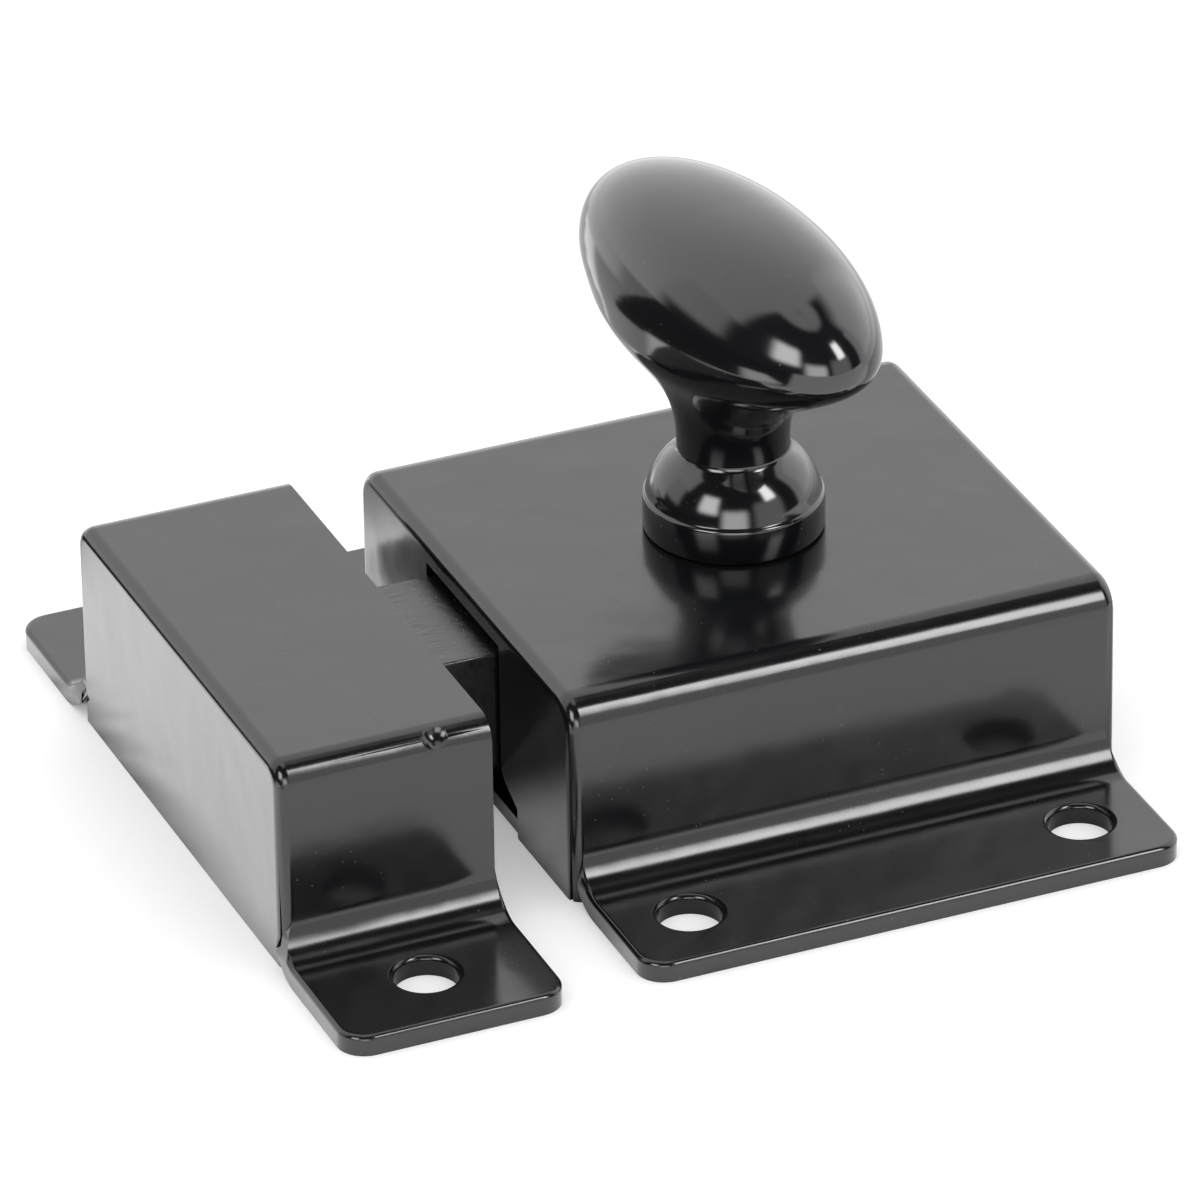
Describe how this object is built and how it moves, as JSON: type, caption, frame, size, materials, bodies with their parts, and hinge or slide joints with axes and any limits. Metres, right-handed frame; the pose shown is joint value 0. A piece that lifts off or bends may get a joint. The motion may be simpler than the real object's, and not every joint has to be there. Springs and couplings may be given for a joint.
{
  "type": "cupboard catch latch",
  "caption": "Surface-mounted latch: an oval knob on a folded case draws a sprung, bevelled bolt out of a folded keeper.",
  "frame": {"origin": "on the mounting plane under the knob's axis, which is the middle of the case's screw holes", "axes": "+Z out of the door along the knob's axis, +X along the bolt away from the keeper, +Y across the bolt"},
  "size_m": [0.0672, 0.0676, 0.0433],
  "materials": {
    "case_enamel": "gloss black enamel",
    "plate_enamel": "gloss black enamel",
    "keeper_enamel": "gloss black enamel",
    "bolt_enamel": "semi-gloss black enamel over a rough casting",
    "knob_enamel": "gloss black enamel",
    "bare_steel": "plain turned and stamped steel",
    "spring_steel": "oiled spring wire"
  },
  "bodies": {
    "case": {"case": "case_enamel", "back_plate": "plate_enamel", "keeper": "keeper_enamel", "spring_peg": "bare_steel", "bolt_spring": "spring_steel"},
    "knob": {"knob": "knob_enamel", "spindle": "bare_steel", "cam": "bare_steel", "cam_pin": "bare_steel", "thrust_washer": "bare_steel"},
    "bolt": {"bolt": "bolt_enamel"}
  },
  "joints": [
    {"name": "knob_turn", "type": "hinge", "parent": "case", "child": "knob", "pos_m": [0, 0, 0.016], "axis": [0, 0, 1], "range_deg": [0, 75]},
    {"name": "bolt_slide", "type": "slide", "parent": "case", "child": "bolt", "axis": [1, 0, 0], "range_m": [0, 0.0055], "stiffness_N_per_m": 2000, "springref_m": -0.002, "deforming": ["bolt_spring"]}
  ],
  "couplings": [
    {"joint": "knob_turn", "follows": "bolt_slide", "rad_per_m": 238.1}
  ]
}
